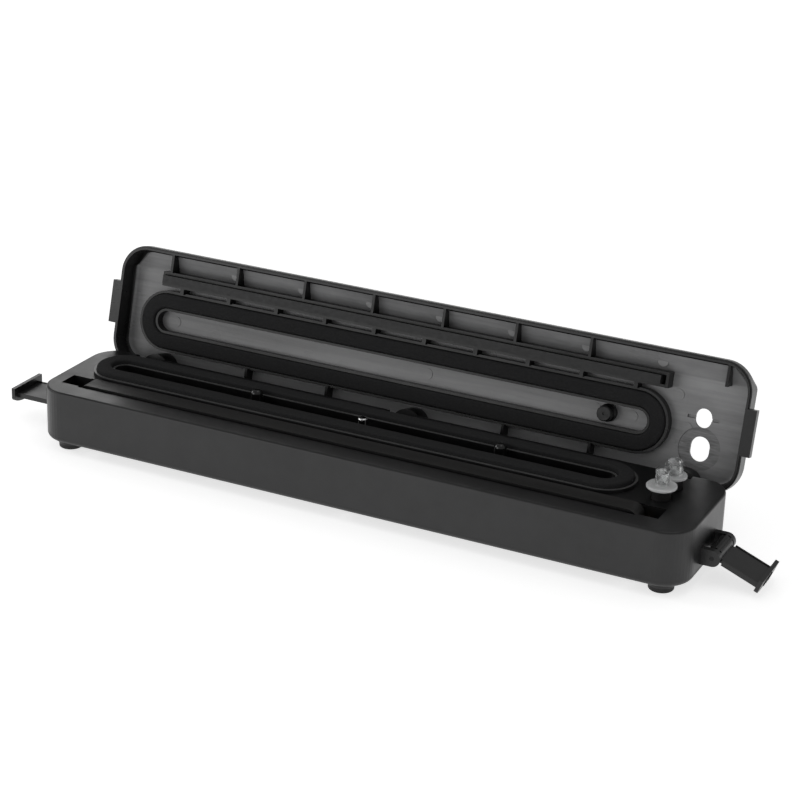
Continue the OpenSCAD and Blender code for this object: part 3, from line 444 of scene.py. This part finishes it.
def bandSection(bm, low, high, look):
    # the band's cross-section at the right-hand end of the front run: outer side to -Y
    inset = look["inset"]
    wide = look["band"] - 2 * inset
    half = (high.y - low.y) / 2
    middle = (high.z + low.z) / 2
    bmesh.ops.create_grid(bm, x_segments=1, y_segments=1, size=0.5)
    bmesh.ops.scale(bm, verts=bm.verts, vec=(high.z - low.z, wide, 1))
    bmesh.ops.rotate(bm, verts=bm.verts, matrix=Matrix.Rotation(math.radians(90), 3, "Y"))
    bmesh.ops.translate(bm, verts=bm.verts, vec=(high.x - half, low.y + inset + wide / 2, middle))
    free = [v for v in bm.verts if v.co.z > middle]
    bmesh.ops.bevel(bm, geom=free, offset=look["shoulder"], segments=look["steps"], profile=0.5,
                    affect="VERTICES", material=-1)
    bmesh.ops.delete(bm, geom=list(bm.faces), context="FACES_ONLY")


def foamRing(name, low, high, body, cadNode, look, place=Matrix.Identity(4), upside=False):
    # the pressed side is made upwards, then turned down for the ring in the lid
    bm = bmesh.new()
    bandSection(bm, low, high, look)
    centre = (low + high) / 2
    run = (high.x - low.x) - (high.y - low.y)
    edges = list(bm.edges)
    for side in (1, -1):
        end = (centre.x + side * run / 2, centre.y, 0)
        out = bmesh.ops.spin(bm, geom=edges, cent=end, axis=(0, 0, 1), angle=math.pi,
                             steps=look["round"], use_merge=False)
        edges = [g for g in out["geom_last"] if isinstance(g, bmesh.types.BMEdge)]
        step = (-side * run / look["along"], 0, 0)
        out = bmesh.ops.spin(bm, geom=edges, cent=(0, 0, 0), axis=(0, 0, 1), angle=0, dvec=step,
                             steps=look["along"], use_merge=False)
        edges = [g for g in out["geom_last"] if isinstance(g, bmesh.types.BMEdge)]
    bmesh.ops.remove_doubles(bm, verts=bm.verts, dist=0.00002)
    for v in bm.verts:
        if v.co.z > low.z + look["foot"]:
            v.co.z += look["uneven"] * (noise.noise(v.co * look["waves"]) - 1)
            v.co.y += look["uneven"] * look["sideways"] * noise.noise(v.co * look["ripples"])
    if upside:
        bmesh.ops.scale(bm, verts=bm.verts, vec=(1, 1, -1), space=Matrix.Translation(-centre))
    ring = addPiece(name, bm, body, "foam", cadNode, place=place, sharp=70)


foamRing("lowerFoam", *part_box("lower_gasket"), "base", "lower_gasket", foam)
foamRing("upperFoam", *closedBox("upper_gasket"), "lid", "upper_gasket", foam, swing, upside=True)
print("foam rings laid")

# clear lenses: turned from an outline with a hollow under the crown, over a round flange

frontLens = {"flange": 0.0075, "post": 0.0034, "crown": 0.0012, "flat": 0.0027,
             "wall": 0.0013, "roof": 0.0028}
rearLens = {"flange": 0.0067, "post": 0.0045, "crown": 0.0043, "flat": 0,
            "wall": 0.0014, "roof": 0.0022}


def turnedLens(name, cadNode, body, look):
    # half the section is drawn as a face, its corners rounded, and its border turned full circle
    low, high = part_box(cadNode)
    x, y = (low.x + high.x) / 2, (low.y + high.y) / 2
    tall = high.z - low.z
    bm = bmesh.new()
    hollow = tall - look["roof"]
    flangeHigh = lensLook["flangeHigh"]
    corners = [(0, hollow), (look["post"] - look["wall"], hollow), (look["post"] - look["wall"], 0),
               (look["flange"], 0), (look["flange"], flangeHigh), (look["post"], flangeHigh),
               (look["post"], tall), (0, tall)]
    rounds = {1: 0.0008, 3: 0.0004, 4: 0.0006, 5: 0.0003, 6: look["crown"]}
    outline = [bm.verts.new((r, 0, z)) for r, z in corners]
    bm.faces.new(outline)
    for index, radius in rounds.items():
        bmesh.ops.bevel(bm, geom=[outline[index]], offset=radius, segments=6, profile=0.5,
                        affect="VERTICES", material=-1)
    bmesh.ops.delete(bm, geom=list(bm.faces), context="FACES_ONLY")
    for edge in [e for e in bm.edges if max(v.co.x for v in e.verts) < 0.000001]:
        bm.edges.remove(edge)
    bmesh.ops.spin(bm, geom=list(bm.edges), cent=(0, 0, 0), axis=(0, 0, 1), angle=2 * math.pi,
                   steps=56, use_merge=True)
    bmesh.ops.remove_doubles(bm, verts=bm.verts, dist=0.000005)
    if look["flat"]:
        # flats on the front and back of the post
        for v in bm.verts:
            if v.co.z > flangeHigh + 0.0004:
                v.co.y = max(-look["flat"], min(look["flat"], v.co.y))
    addPiece(name, bm, body, "clear_acrylic", cadNode, Matrix.Translation((x, y, low.z)), sharp=35)


turnedLens("frontLens", "button_lens_front", "button_front", frontLens)
turnedLens("rearLens", "button_lens_rear", "button_rear", rearLens)
print("lenses turned")

# floor

floorLook = {"size": 8.0, "color": (0.8, 0.8, 0.8), "glow": 0.68}
bm = bmesh.new()
bmesh.ops.create_grid(bm, x_segments=4, y_segments=4, size=floorLook["size"] / 2)
floorMesh = bpy.data.meshes.new("floor")
bm.to_mesh(floorMesh)
bm.free()
floor = bpy.data.objects.new("floor", floorMesh)
scene.collection.objects.link(floor)
paper = Finish("floorPaper")
fibre = paper.noise(300, 3, 0.6)
coat(floor, paper.done(Base_Color=paper.blend(fibre, shade(floorLook["color"], 0.98), floorLook["color"]),
                       Roughness=0.9, Normal=paper.bump(fibre, 0.05, 0.0002),
                       Emission_Color=(1, 1, 1, 1), Emission_Strength=floorLook["glow"]))
